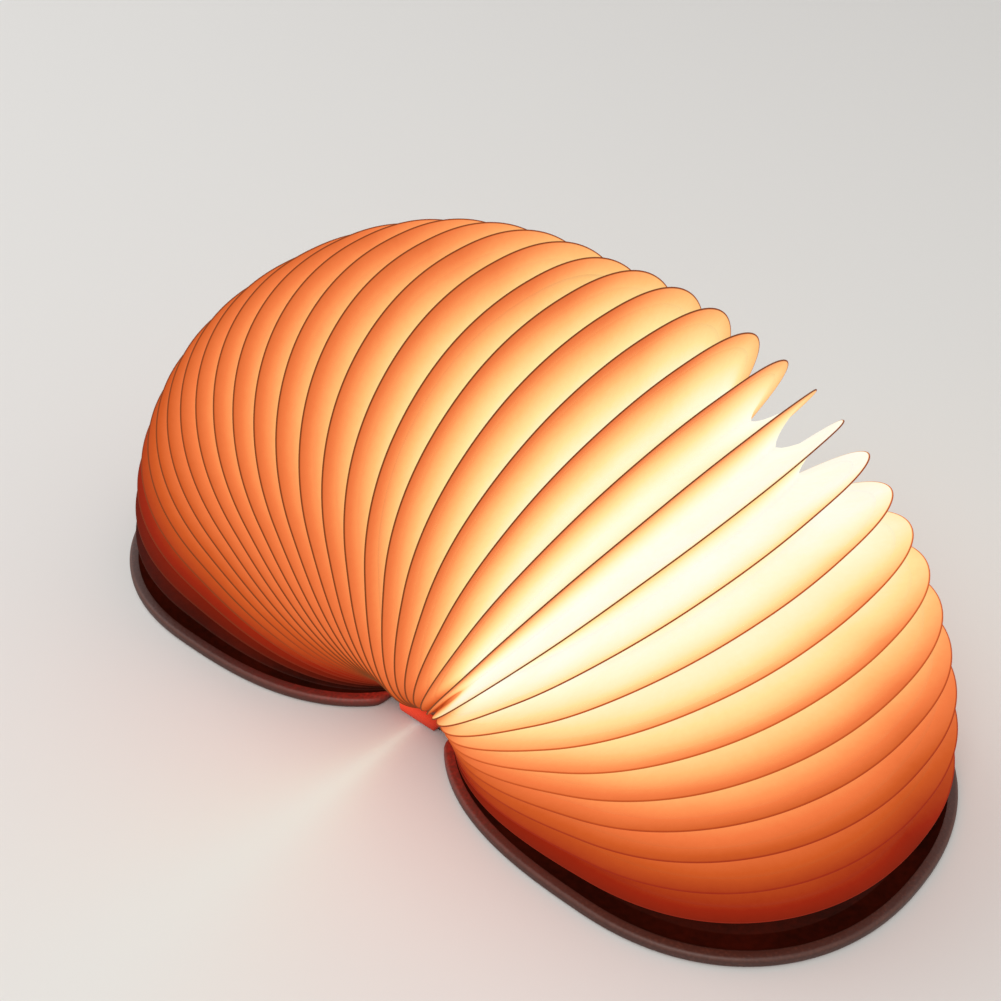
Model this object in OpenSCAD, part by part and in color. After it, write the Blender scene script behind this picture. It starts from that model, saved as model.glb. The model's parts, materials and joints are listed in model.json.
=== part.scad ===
// Folding book lamp: two covers, a lit core on the spine and a fan of paper pages between them.
// The origin is on the table under the middle of the spine. +Y runs along the spine, +X points
// to the right cover and +Z is up. The lamp is drawn opened flat, with both covers on the table.

/* [Pages] */
// Reach of a page from its fold line to its far edge
page_reach = 130; // [120:1:140]
// Distance from the fold line to the widest part of a page
page_centre = 67; // [62:1:72]
// Half of a page's size along the spine, at its widest
page_half_height = 66; // [60:1:72]
// Reach of the rounded spine side of a page, before the fold line cuts it off
spine_side_reach = 76; // [73:1:80]
// Roundness of the far side: 2 is an ellipse, more is squarer
far_power = 2.2; // [2:0.1:2.6]
// Roundness of the spine side
spine_power = 2.7; // [2.4:0.1:3]
// Cells of paper between one cover and the middle page
cells_per_side = 17; // [15:1:17]
// Half of the thickness of the closed stack of pages
half_stack = 12; // [11.5:0.1:14]
// Width of the glued rim that joins two sheets into a page
rim_width = 5; // [4:0.5:7]
// Thickness of a glued rim
rim_t = 0.38; // [0.3:0.02:0.4]
// Gap between the fold line and the start of a page
page_start = 2; // [1.5:0.5:4]

/* [Paper bellows] */
// Depth of a paper cell behind the rims, away from the spine
pleat_depth = 14; // [10:0.5:18]
// Depth of a paper cell at the spine
root_depth = 4; // [3:0.5:5]
// Distance from the fold line at which a cell reaches its full depth
depth_run = 36; // [30:1:50]
// Thickness of the paper, measured in the plane of a page
paper_t = 1; // [0.8:0.1:1.4]
// Gap between a rim and the paper behind it
rim_gap = 0.3; // [0.2:0.05:0.4]
// Straight pieces along each half of a cell's edge
edge_pieces = 13; // [9:1:15]

/* [Covers] */
// How far a cover board stands past the pages
cover_margin = 2.4; // [1.5:0.1:4]
// Thickness of a cover board
board_t = 2.4; // [2:0.1:3]
// Thickness of the skin around the board
skin_t = 0.6; // [0.4:0.1:1]
// Thickness of the lining sheet on the inside of a cover
lining_t = 0.4; // [0.3:0.05:0.5]
// Width of the skin that is turned in over the board's edge
turn_in_w = 4; // [3.2:0.1:6]
// Gap from the fold line to a cover's spine edge
cover_start = 1; // [0.6:0.1:2]
// Diameter of a closing magnet
magnet_d = 8; // [6:0.5:10]
// Thickness of a closing magnet
magnet_t = 1.6; // [1.2:0.1:1.8]
// Distance from a closing magnet's centre to the far edge of the pages
magnet_inset = 22; // [16:1:30]
// Distance between the two closing magnets of a cover
magnet_spacing = 60; // [40:1:70]
// Diameter of the small magnet that works the switch
switch_magnet_d = 5; // [4:0.5:6]
// Distance from the switch magnet to the fold line
switch_magnet_reach = 9; // [7:0.5:12]
// Clearance around a part that is glued into a pocket
pocket_gap = 0.05; // [0.02:0.01:0.1]

/* [Spine] */
// Thickness of the spine board
spine_t = 2.6; // [2.4:0.1:2.8]
// Gap left beside the spine board for a cover that folds right back
foldback_gap = 0.6; // [0.5:0.1:0.8]
// Half of the length of the spine board
spine_half_length = 43; // [42:0.5:45]
// Distance from the end of the tray to a screw
screw_inset = 4.5; // [4:0.1:5]
// Diameter of the rolled band at each end of the spine
end_band_d = 3.4; // [3:0.1:3.6]
// Thickness of the hinge cloth
hinge_cloth_t = 0.4; // [0.3:0.05:0.6]

/* [Light core] */
// Outside width of the core's tray
tray_w = 15; // [14:0.5:16]
// Length of the core's tray
tray_l = 56; // [52:1:58]
// Height of the core's tray
tray_h = 11; // [10:0.5:12]
// Wall of the tray
tray_wall = 1.2; // [1:0.1:1.5]
// Width of the battery
battery_w = 11; // [9:0.5:11.5]
// Length of the battery
battery_l = 34; // [30:1:35]
// Thickness of the battery
battery_t = 6.5; // [5:0.5:7]
// Thickness of a circuit board
pcb_t = 1; // [0.8:0.1:1.2]
// Width of the charge board
charge_w = 11; // [9:0.5:12]
// Height of the charge board
charge_h = 8.6; // [7:0.1:9]
// Distance from the middle of the tray to the charge board
charge_y = 17; // [16:0.5:18]
// Width, length and height of the cover sensor's case
sensor_w = 1.5; // [1:0.1:1.6]
sensor_l = 3; // [2.5:0.1:3.2]
sensor_h = 4; // [3:0.1:5]
// Diameter of an insulated lead
lead_d = 0.8; // [0.6:0.05:0.9]
// Distance between the two leads
lead_spacing = 6; // [5.5:0.1:6.5]
// Side of a square light-emitting chip
led_side = 2.8; // [2:0.1:3.2]
// Height of a light-emitting chip
led_h = 0.8; // [0.6:0.1:1.2]
// Number of chips along the board
led_count = 9; // [5:1:11]
// Wall of the milky dome over the chips
dome_wall = 1.2; // [1:0.1:1.5]
// Width of the charging socket
socket_w = 8.9; // [8.4:0.1:9.2]
// Height of the charging socket
socket_h = 3.1; // [3:0.05:3.2]
// Depth of the charging socket
socket_l = 7.3; // [7:0.1:8]
// Sheet of the charging socket's shell
socket_sheet = 0.3; // [0.25:0.05:0.4]
// Diameter of a tray screw
screw_d = 2; // [1.8:0.1:2.2]
// Diameter of a tray screw's head
screw_head_d = 3.6; // [3.2:0.1:4]
// Height of a tray screw's head
screw_head_h = 1.2; // [1:0.1:1.3]
// Clearance between parts that are pushed or screwed together
fit_gap = 0.1; // [0.05:0.05:0.2]

/* [Hidden] */

// Colours of the materials
paper_colour = [1, 0.78, 0.5];
cover_colour = [0.17, 0.07, 0.045];
board_colour = [0.55, 0.45, 0.33];
metal_colour = [0.75, 0.76, 0.78];
band_colour = [0.85, 0.25, 0.12];
circuit_colour = [0.1, 0.35, 0.2];

// The stack of layers in a cover, and the height of the fold lines above it
fold_gap = 0.1;
cover_t = skin_t + board_t + lining_t;
fold_z = cover_t + fold_gap;
spine_half_width = half_stack - fold_z - foldback_gap;
spine_top = skin_t + spine_t;
cell_angle = 90 / cells_per_side;
tray_in_w = tray_w - 2 * tray_wall;
tray_in_l = tray_l - 2 * tray_wall;
screw_y = tray_l / 2 - screw_inset;
magnet_reach = page_reach - magnet_inset;
window_inset = turn_in_w - cover_margin;
tray_floor = spine_top + tray_wall;
tray_top = spine_top + tray_h;
sensor_y = charge_y + pcb_t + sensor_l / 2;
lead_run = 2;
socket_z = skin_t + socket_h / 2;

// A closed page outline, pushed out by grow: two half superellipses that share their widest line
function power_at(t) = abs(t) <= 90 ? far_power : spine_power;
function reach_at(t) = abs(t) <= 90 ? page_reach - page_centre : spine_side_reach;
function signed_power(v, p) = sign(v) * pow(abs(v), p);
function edge_base(t) = [
    reach_at(t) * signed_power(cos(t), 2 / power_at(t)),
    page_half_height * signed_power(sin(t), 2 / power_at(t))
];
function edge_slope(p, t) = [
    signed_power(p[0] / reach_at(t), power_at(t) - 1) / reach_at(t),
    signed_power(p[1] / page_half_height, power_at(t) - 1) / page_half_height
];
function edge_point(t, grow) =
    let (p = edge_base(t), g = edge_slope(p, t), n = g / norm(g))
    [page_centre + p[0] + grow * n[0], p[1] + grow * n[1]];
edge_steps = 48;

// The flat outline in the plane of a page, from start outwards
module page_sheet(grow, start) {
    far = page_reach + 2 * page_half_height;
    intersection() {
        polygon([for (i = [0:edge_steps - 1]) edge_point(i * 360 / edge_steps - 180, grow)]);
        translate([start, -far]) square([far, 2 * far]);
    }
}

// Puts a shape drawn in the plane of a page at an angle above the right or left cover
module at_page(angle, side = 1) {
    mirror([side > 0 ? 0 : 1, 0, 0])
        translate([half_stack, 0, fold_z]) rotate([0, -angle, 0])
            translate([0, 0, half_stack * angle / 90]) children();
}

module page_rim(i) {
    angle = i * cell_angle;
    side = angle <= 90 + cell_angle / 2 ? 1 : -1;
    color(paper_colour)
        at_page(side > 0 ? angle : 180 - angle, side)
            linear_extrude(height = rim_t, center = true)
                difference() {
                    page_sheet(0, page_start);
                    page_sheet(-rim_width, 0);
                }
}

// One half of the pleated paper, as a ring of outer and inner points for each half cell
bellows_end = acos(-pow((page_centre - page_start) / spine_side_reach, spine_power / 2));
function edge_turn(i) = bellows_end * (i / edge_pieces - 1);
function depth_at(r) = root_depth + (pleat_depth - root_depth) * sin(90 * min(1, max(0, r) / depth_run));
function fold_turn(j) = min(90 - fold_gap, max(fold_gap / 2, j * cell_angle / 2));
function pleat_point(i, j, inset) =
    let (
        t = edge_turn(i),
        valley = j % 2 == 1 ? depth_at(edge_point(t, 0)[0]) : 0,
        p = edge_point(t, -(rim_width + rim_gap + valley + inset)),
        a = fold_turn(j),
        d = half_stack * a / 90
    )
    [half_stack + p[0] * cos(a) - d * sin(a), p[1], fold_z + p[0] * sin(a) + d * cos(a)];
module paper_bellows(side) {
    across = 2 * edge_pieces + 1;
    rings = 2 * cells_per_side + 1;
    outer_inner = [
        for (j = [0:rings - 1]) for (inset = [0, paper_t]) for (i = [0:across - 1]) pleat_point(i, j, inset)
    ];
    ring = 2 * across;
    outside = [for (j = [0:rings - 2]) for (i = [0:across - 2])
        [j * ring + i, j * ring + i + 1, (j + 1) * ring + i + 1, (j + 1) * ring + i]];
    inside = [for (j = [0:rings - 2]) for (i = [0:across - 2])
        [j * ring + across + i, (j + 1) * ring + across + i,
         (j + 1) * ring + across + i + 1, j * ring + across + i + 1]];
    roots = [for (j = [0:rings - 2]) for (e = [0, 1])
        let (i = e * (across - 1), q = [j * ring + i, (j + 1) * ring + i,
            (j + 1) * ring + across + i, j * ring + across + i])
        e == 0 ? q : [q[3], q[2], q[1], q[0]]];
    ends = [for (j = [0, rings - 1]) for (i = [0:across - 2])
        let (q = [j * ring + i, j * ring + across + i, j * ring + across + i + 1, j * ring + i + 1])
        j == 0 ? q : [q[3], q[2], q[1], q[0]]];
    color(paper_colour) mirror([side > 0 ? 0 : 1, 0, 0])
        polyhedron(outer_inner, concat(outside, inside, roots, ends), convexity = 12);
}

// The layers of a cover
module cover_layer(grow, low, high, start) {
    translate([half_stack, 0, low]) linear_extrude(height = high - low) page_sheet(grow, start);
}
module on_side(side) {
    mirror([side > 0 ? 0 : 1, 0, 0]) children();
}
module cover_skin(side) {
    color(cover_colour) on_side(side) difference() {
        cover_layer(cover_margin + skin_t, 0, cover_t, cover_start);
        cover_layer(cover_margin + pocket_gap, skin_t, skin_t + board_t, cover_start + skin_t - pocket_gap);
        cover_layer(-window_inset, skin_t, 2 * cover_t, cover_start + turn_in_w / 2);
    }
}
module magnet_places() {
    for (y = [-magnet_spacing / 2, magnet_spacing / 2])
        translate([half_stack + magnet_reach, y, skin_t + board_t - magnet_t]) children();
}
module switch_magnet_place() {
    translate([half_stack + switch_magnet_reach, sensor_y, skin_t + board_t - magnet_t]) children();
}
module cover_board(side) {
    color(board_colour) on_side(side) difference() {
        cover_layer(cover_margin, skin_t, skin_t + board_t, cover_start + skin_t);
        magnet_places() cylinder(h = 2 * magnet_t, d = magnet_d + 2 * pocket_gap, $fn = 48);
        if (side < 0)
            switch_magnet_place() cylinder(h = 2 * magnet_t, d = switch_magnet_d + 2 * pocket_gap, $fn = 48);
    }
}
module lining(side) {
    color(paper_colour) on_side(side)
        cover_layer(-window_inset - pocket_gap, skin_t + board_t, cover_t,
            cover_start + turn_in_w / 2 + pocket_gap);
}
module closing_magnets(side) {
    color(metal_colour) on_side(side) magnet_places() cylinder(h = magnet_t, d = magnet_d, $fn = 48);
}
module switch_magnet() {
    color(metal_colour) on_side(-1) switch_magnet_place() cylinder(h = magnet_t, d = switch_magnet_d, $fn = 48);
}

// The spine between the covers
module spine_skin() {
    color(cover_colour) translate([-spine_half_width, -spine_half_length, 0])
        cube([2 * spine_half_width, 2 * spine_half_length, skin_t]);
}
module socket_shape(grow, length) {
    r = socket_h / 2;
    translate([0, spine_half_length, socket_z])
        rotate([90, 0, 0]) linear_extrude(height = length) {
            square([socket_w - socket_h, socket_h + 2 * grow], center = true);
            for (x = [-1, 1]) translate([x * (socket_w / 2 - r), 0]) circle(r = r + grow, $fn = 48);
        }
}
module spine_board() {
    color(board_colour) difference() {
        translate([-spine_half_width, -spine_half_length, skin_t])
            cube([2 * spine_half_width, 2 * spine_half_length, spine_t]);
        socket_shape(fit_gap, socket_l + fit_gap);
        screw_places() translate([0, 0, -spine_t]) cylinder(h = 3 * spine_t, d = screw_d - 2 * fit_gap, $fn = 32);
    }
}
module end_band(side) {
    color(band_colour) mirror([0, side > 0 ? 0 : 1, 0])
        translate([0, spine_half_length - end_band_d / 2, spine_top]) difference() {
            rotate([0, 90, 0]) cylinder(h = 2 * spine_half_width, d = end_band_d, center = true, $fn = 48);
            translate([-half_stack, -end_band_d, -end_band_d]) cube([2 * half_stack, 2 * end_band_d, end_band_d]);
            if (side > 0) translate([0, end_band_d / 2 - spine_half_length, -spine_top])
                socket_shape(fit_gap, socket_l + fit_gap);
        }
}
module hinge_cloth(side) {
    low = skin_t + board_t - hinge_cloth_t;
    color(cover_colour) on_side(side) translate([spine_half_width, -spine_half_length, low])
        cube([half_stack + cover_start - fold_gap - spine_half_width, 2 * spine_half_length, hinge_cloth_t]);
}

// The lit core that stands on the spine board
module screw_places() {
    for (y = [-screw_y, screw_y]) translate([0, y, spine_top]) children();
}
module lead_channels() {
    gap = lead_d + 2 * fit_gap;
    for (x = [-lead_spacing / 2, lead_spacing / 2])
        translate([x - gap / 2, charge_y + pcb_t, spine_top - fit_gap])
            cube([gap, tray_l / 2, tray_wall + 2 * fit_gap]);
}
module core_tray() {
    color([0.93, 0.93, 0.9]) difference() {
        translate([-tray_w / 2, -tray_l / 2, spine_top]) cube([tray_w, tray_l, tray_h]);
        translate([-tray_in_w / 2, -tray_in_l / 2, tray_floor]) cube([tray_in_w, tray_in_l, tray_h]);
        screw_places() translate([0, 0, -tray_wall]) cylinder(h = 3 * tray_wall, d = screw_d + 2 * fit_gap, $fn = 32);
        lead_channels();
    }
}
module tray_screws() {
    shank = tray_wall + spine_t - fit_gap;
    color(metal_colour) screw_places() {
        translate([0, 0, tray_wall - shank]) cylinder(h = shank, d = screw_d - 2 * fit_gap, $fn = 32);
        translate([0, 0, tray_wall]) cylinder(h = screw_head_h, d = screw_head_d, $fn = 32);
    }
}
module battery() {
    r = battery_t / 2;
    color([0.35, 0.42, 0.55]) translate([0, charge_y - lead_run - battery_l / 2, tray_floor + r])
        rotate([90, 0, 0]) linear_extrude(height = battery_l, center = true) {
            square([battery_w - battery_t, battery_t], center = true);
            for (x = [-1, 1]) translate([x * (battery_w / 2 - r), 0]) circle(r = r, $fn = 48);
        }
}
module leads() {
    low = spine_top + lead_d / 2 + fit_gap / 2;
    drop_y = charge_y + pcb_t + lead_d / 2;
    color([0.75, 0.1, 0.08]) for (x = [-lead_spacing / 2, lead_spacing / 2]) translate([x, 0, 0]) {
        translate([0, charge_y - lead_run, tray_floor + battery_t / 2]) rotate([-90, 0, 0])
            cylinder(h = lead_run, d = lead_d, $fn = 24);
        translate([0, drop_y, low]) cylinder(h = tray_wall + lead_d, d = lead_d, $fn = 24);
        translate([0, drop_y, low]) sphere(d = lead_d, $fn = 24);
        translate([0, drop_y, low]) rotate([-90, 0, 0])
            cylinder(h = spine_half_length - socket_l - drop_y, d = lead_d, $fn = 24);
    }
}
module charge_board() {
    color(circuit_colour) translate([-charge_w / 2, charge_y, tray_floor]) cube([charge_w, pcb_t, charge_h]);
}
module charge_socket() {
    color(metal_colour) difference() {
        socket_shape(0, socket_l);
        translate([0, fit_gap, 0]) socket_shape(-socket_sheet, socket_l - socket_sheet + fit_gap);
    }
    color([0.1, 0.1, 0.1]) translate([0, spine_half_length - socket_l, socket_z])
        translate([-socket_w / 2 + socket_h / 2, 0, -socket_sheet])
            cube([socket_w - socket_h, socket_l - 1, 2 * socket_sheet]);
}
module cover_sensor() {
    color([0.08, 0.08, 0.09]) translate([-tray_in_w / 2, sensor_y - sensor_l / 2, tray_floor])
        cube([sensor_w, sensor_l, sensor_h]);
}
module led_board() {
    color([0.95, 0.95, 0.95]) translate([-tray_w / 2, -tray_l / 2, tray_top]) cube([tray_w, tray_l, pcb_t]);
}
module led_chips() {
    pitch = tray_in_l / led_count;
    color([1, 0.9, 0.5]) for (i = [0:led_count - 1])
        translate([-led_side / 2, (i - (led_count - 1) / 2) * pitch - led_side / 2, tray_top + pcb_t])
            cube([led_side, led_side, led_h]);
}
module core_diffuser() {
    color([1, 0.96, 0.88]) translate([0, 0, tray_top + pcb_t]) difference() {
        rotate([90, 0, 0]) cylinder(h = tray_l, d = tray_w, center = true, $fn = 96);
        rotate([90, 0, 0])
            cylinder(h = tray_l - 2 * dome_wall, d = tray_w - 2 * dome_wall, center = true, $fn = 96);
        translate([-tray_w, -tray_l, -tray_w]) cube([2 * tray_w, 2 * tray_l, tray_w]);
    }
}

spine_skin();
spine_board();
end_band(-1);  // near_end_band
end_band(1);  // far_end_band
core_tray();
tray_screws();
battery();
leads();  // battery_leads
charge_board();
charge_socket();
cover_sensor();
led_board();
led_chips();
core_diffuser();
cover_skin(1);  // right_cover_skin
cover_board(1);  // right_cover_board
lining(1);  // right_lining
closing_magnets(1);  // right_closing_magnets
cover_skin(-1);  // left_cover_skin
cover_board(-1);  // left_cover_board
lining(-1);  // left_lining
closing_magnets(-1);  // left_closing_magnets
switch_magnet();  // left_switch_magnet
hinge_cloth(1);  // right_hinge_cloth
hinge_cloth(-1);  // left_hinge_cloth
paper_bellows(1);  // right_paper_bellows
paper_bellows(-1);  // left_paper_bellows
page_rim(1);  // page_rim_01
page_rim(2);  // page_rim_02
page_rim(3);  // page_rim_03
page_rim(4);  // page_rim_04
page_rim(5);  // page_rim_05
page_rim(6);  // page_rim_06
page_rim(7);  // page_rim_07
page_rim(8);  // page_rim_08
page_rim(9);  // page_rim_09
page_rim(10);  // page_rim_10
page_rim(11);  // page_rim_11
page_rim(12);  // page_rim_12
page_rim(13);  // page_rim_13
page_rim(14);  // page_rim_14
page_rim(15);  // page_rim_15
page_rim(16);  // page_rim_16
page_rim(17);  // page_rim_17
page_rim(18);  // page_rim_18
page_rim(19);  // page_rim_19
page_rim(20);  // page_rim_20
page_rim(21);  // page_rim_21
page_rim(22);  // page_rim_22
page_rim(23);  // page_rim_23
page_rim(24);  // page_rim_24
page_rim(25);  // page_rim_25
page_rim(26);  // page_rim_26
page_rim(27);  // page_rim_27
page_rim(28);  // page_rim_28
page_rim(29);  // page_rim_29
page_rim(30);  // page_rim_30
page_rim(31);  // page_rim_31
page_rim(32);  // page_rim_32
page_rim(33);  // page_rim_33
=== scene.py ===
# A folding book lamp, opened flat: two leatherette covers on a cloth-hinged spine, a lit core,
# and a half fan of pleated paper. Everything is in metres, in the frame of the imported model.
import json
import math

import bmesh
import bpy
import numpy as np
from mathutils import Matrix, Vector


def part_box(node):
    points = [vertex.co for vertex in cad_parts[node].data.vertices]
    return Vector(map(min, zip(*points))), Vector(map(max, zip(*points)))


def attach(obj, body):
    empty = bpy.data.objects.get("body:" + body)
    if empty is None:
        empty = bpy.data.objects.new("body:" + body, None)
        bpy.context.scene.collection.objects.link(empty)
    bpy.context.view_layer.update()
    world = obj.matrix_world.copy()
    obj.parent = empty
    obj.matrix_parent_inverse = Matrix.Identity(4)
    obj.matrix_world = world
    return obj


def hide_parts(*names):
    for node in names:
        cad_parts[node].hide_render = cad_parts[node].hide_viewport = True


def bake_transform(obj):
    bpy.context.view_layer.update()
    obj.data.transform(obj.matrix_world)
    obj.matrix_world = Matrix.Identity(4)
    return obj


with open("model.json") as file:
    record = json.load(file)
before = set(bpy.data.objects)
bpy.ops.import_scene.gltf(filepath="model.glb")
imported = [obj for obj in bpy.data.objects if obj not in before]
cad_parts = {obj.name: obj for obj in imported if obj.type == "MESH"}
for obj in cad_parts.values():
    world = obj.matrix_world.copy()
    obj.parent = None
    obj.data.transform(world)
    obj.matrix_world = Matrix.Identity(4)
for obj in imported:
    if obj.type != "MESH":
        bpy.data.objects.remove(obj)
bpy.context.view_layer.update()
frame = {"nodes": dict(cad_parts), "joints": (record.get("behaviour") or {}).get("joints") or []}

# ---------------------------------------------------------------------------------------------
# The studio: a pale floor under plain soft lamps. The camera looks down on the near end of the
# spine from the right, and is turned a little about its own axis.
# ---------------------------------------------------------------------------------------------
camera_azimuth = math.radians(38.8)
camera_elevation = math.radians(37.1)
camera_roll = math.radians(2.2)
camera_distance = 0.498
camera_target = Vector((-0.0208, 0.0164, 0.0390))
camera_lens = 56.4
camera_sensor = 36
nearest_seen = 0.01
floor_half = 3.0
floor_colour = (0.80, 0.79, 0.775, 1)
sky_colour = (1, 0.985, 0.965, 1)
sky_on_the_lamp = 0.55
sky_seen = 0.86

back = Vector((
    math.sin(camera_azimuth) * math.cos(camera_elevation),
    -math.cos(camera_azimuth) * math.cos(camera_elevation),
    math.sin(camera_elevation),
))
level_right = (-back).cross(Vector((0, 0, 1))).normalized()
level_up = level_right.cross(-back)
view_right = math.cos(camera_roll) * level_right + math.sin(camera_roll) * level_up
view_up = math.cos(camera_roll) * level_up - math.sin(camera_roll) * level_right

camera_data = bpy.data.cameras.new("camera")
camera_data.lens = camera_lens
camera_data.sensor_width = camera_sensor
camera_data.clip_start = nearest_seen
camera = bpy.data.objects.new("camera", camera_data)
bpy.context.scene.collection.objects.link(camera)
camera.matrix_world = Matrix.Translation(camera_target + back * camera_distance) @ Matrix(
    (view_right, view_up, back)).transposed().to_4x4()
bpy.context.scene.camera = camera
bpy.context.scene.view_settings.view_transform = "Standard"


def node_kit(material):
    """Empties a material, and returns a function that adds a node to it with its inputs set or linked."""
    material.use_nodes = True
    tree = material.node_tree
    tree.nodes.clear()

    def add(kind, settings=None, **inputs):
        node = tree.nodes.new(f"ShaderNode{kind}")
        for name, value in (settings or {}).items():
            setattr(node, name, value)
        for name, value in inputs.items():
            place = int(name[1:]) if name[1:].isdigit() else name.replace("_", " ")
            if isinstance(value, bpy.types.NodeSocket):
                tree.links.new(value, node.inputs[place])
            else:
                node.inputs[place].default_value = value
        return node

    return add


floor_mesh = bpy.data.meshes.new("floor")
floor_mesh.from_pydata(
    [(-floor_half, -floor_half, 0), (floor_half, -floor_half, 0),
     (floor_half, floor_half, 0), (-floor_half, floor_half, 0)],
    [], [(0, 1, 2, 3)],
)
floor = bpy.data.objects.new("floor", floor_mesh)
bpy.context.scene.collection.objects.link(floor)
floor_paint = bpy.data.materials.new("floor_paint")
add = node_kit(floor_paint)
floor_shader = add("BsdfPrincipled", Base_Color=floor_colour, Roughness=0.8)
add("OutputMaterial", Surface=floor_shader.outputs[0])
floor_mesh.materials.append(floor_paint)

world = bpy.data.worlds.new("studio")
bpy.context.scene.world = world
add = node_kit(world)
path = add("LightPath")
either = {"operation": "MAXIMUM"}
seen = add("Math", either, _0=path.outputs["Is Camera Ray"], _1=path.outputs["Is Glossy Ray"])
seen = add("Math", either, _0=seen.outputs[0], _1=path.outputs["Is Transmission Ray"])
strength = add("MapRange", _0=seen.outputs[0], _3=sky_on_the_lamp, _4=sky_seen)
sky = add("Background", Color=sky_colour, Strength=strength.outputs[0])
add("OutputWorld", Surface=sky.outputs[0])


def soft_lamp(name, place, size, power, colour):
    """A large square lamp that faces the middle of the table."""
    data = bpy.data.lights.new(name, "AREA")
    data.size = size
    data.energy = power
    data.color = colour
    lamp = bpy.data.objects.new(name, data)
    bpy.context.scene.collection.objects.link(lamp)
    facing = Vector(place).to_track_quat("Z", "Y").to_matrix().to_4x4()
    lamp.matrix_world = Matrix.Translation(place) @ facing


soft_lamp("key_lamp", place=(0.5, -0.9, 1.3), size=0.9, power=9.0, colour=(1, 0.98, 0.95))
soft_lamp("fill_lamp", place=(-1.0, -0.2, 1.0), size=1.2, power=5.0, colour=(0.96, 0.98, 1))

# ---------------------------------------------------------------------------------------------
# Cover and spine boards: grey pulp board, cut to shape. They keep their solids, and show only
# where a skin or a lining would be cut away.
# ---------------------------------------------------------------------------------------------
board_fibre_scale = 900.0
board_dark = (0.20, 0.17, 0.14, 1)
board_light = (0.38, 0.34, 0.29, 1)
clump_size = 12

board_finish = bpy.data.materials.new("pulp_board")
add = node_kit(board_finish)
where = add("TexCoord").outputs["Object"]
fibre = add("TexNoise", Vector=where, Scale=board_fibre_scale, Detail=6.0, Roughness=0.7)
clump = add("TexNoise", Vector=where, Scale=board_fibre_scale / clump_size, Detail=3.0)
mixed = add("Math", {"operation": "MULTIPLY"}, _0=fibre.outputs[0], _1=clump.outputs[0])
tint = add("ValToRGB", Fac=mixed.outputs[0])
tint.color_ramp.elements[0].position = 0.12
tint.color_ramp.elements[0].color = board_dark
tint.color_ramp.elements[1].position = 0.42
tint.color_ramp.elements[1].color = board_light
rough = add("Bump", Height=fibre.outputs[0], Strength=0.4, Distance=0.0001)
shader = add("BsdfPrincipled", Base_Color=tint.outputs[0], Roughness=0.9, Normal=rough.outputs[0])
add("OutputMaterial", Surface=shader.outputs[0])


def finish_nodes(material, *names):
    """Gives CAD solids that stay in view their finish."""
    for name in names:
        mesh = frame["nodes"][name].data
        mesh.materials.clear()
        mesh.materials.append(material)
        mesh.polygons.foreach_set("material_index", [0] * len(mesh.polygons))


finish_nodes(board_finish, "right_cover_board", "left_cover_board", "spine_board")

# ---------------------------------------------------------------------------------------------
# Cover skins: dark red-brown leatherette, wrapped round each board and glued down in a narrow
# lip on the inside. The grain is pebbled, the rounded edges wear a little lighter, and near the
# spine a red glow is painted on the skin for the lamp's light on it.
# ---------------------------------------------------------------------------------------------
fold = {joint["name"].split("_")[0]: np.array(joint["pos_m"])
        for joint in frame["joints"] if joint["name"].endswith("cover_fold")}
half_stack, _, fold_height = fold["right"]
middle_low, middle_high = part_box("page_rim_17")
page_reach = middle_high[2] - fold_height
page_half_height = middle_high[1]
page_centre = 0.067
spine_side_reach = 0.076
far_power = 2.2
spine_power = 2.7
skin_low, skin_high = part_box("right_cover_skin")
board_low, board_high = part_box("right_cover_board")
skin_grow = skin_high[1] - page_half_height
skin_start = skin_low[0] - half_stack
corner_round = 0.004
edge_round = 0.0011
lip_round = 0.00018
turn_in = 0.0046
leather_dark = (0.042, 0.010, 0.006, 1)
leather_light = (0.092, 0.024, 0.014, 1)
leather_worn = (0.145, 0.050, 0.031, 1)
leather_lit = (0.300, 0.012, 0.006, 1)
lit_reach = 0.022
fine_turns = 20001
skin_points = 260
corner_steps = 6
inside_wear, lip_wear, lip_edge_wear, lip_foot_wear = 0.12, 0.10, 0.30, 0.20


def edge_point(turn, grow):
    """Points of the page outline at the given turns, pushed out by grow, as r and s."""
    far = np.abs(turn) <= math.pi / 2
    power = np.where(far, far_power, spine_power)
    reach = np.where(far, page_reach - page_centre, spine_side_reach)
    x = reach * np.sign(np.cos(turn)) * np.abs(np.cos(turn)) ** (2 / power)
    y = page_half_height * np.sign(np.sin(turn)) * np.abs(np.sin(turn)) ** (2 / power)
    slope_x = np.sign(x) * np.abs(x / reach) ** (power - 1) / reach
    slope_y = np.sign(y) * np.abs(y / page_half_height) ** (power - 1) / page_half_height
    length = np.hypot(slope_x, slope_y)
    return page_centre + x + grow * slope_x / length, y + grow * slope_y / length


def even_turns(count, start, grow=0.0):
    """Turns evenly spaced along the outline, from the fold line round to it again, and the run in metres."""
    fine = np.linspace(-math.pi, math.pi, fine_turns)
    r, s = edge_point(fine, grow)
    inside = r >= start
    fine, r, s = fine[inside], r[inside], s[inside]
    run = np.concatenate([[0], np.cumsum(np.hypot(np.diff(r), np.diff(s)))])
    return np.interp(np.linspace(0, run[-1], count), run, fine), run[-1]


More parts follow.
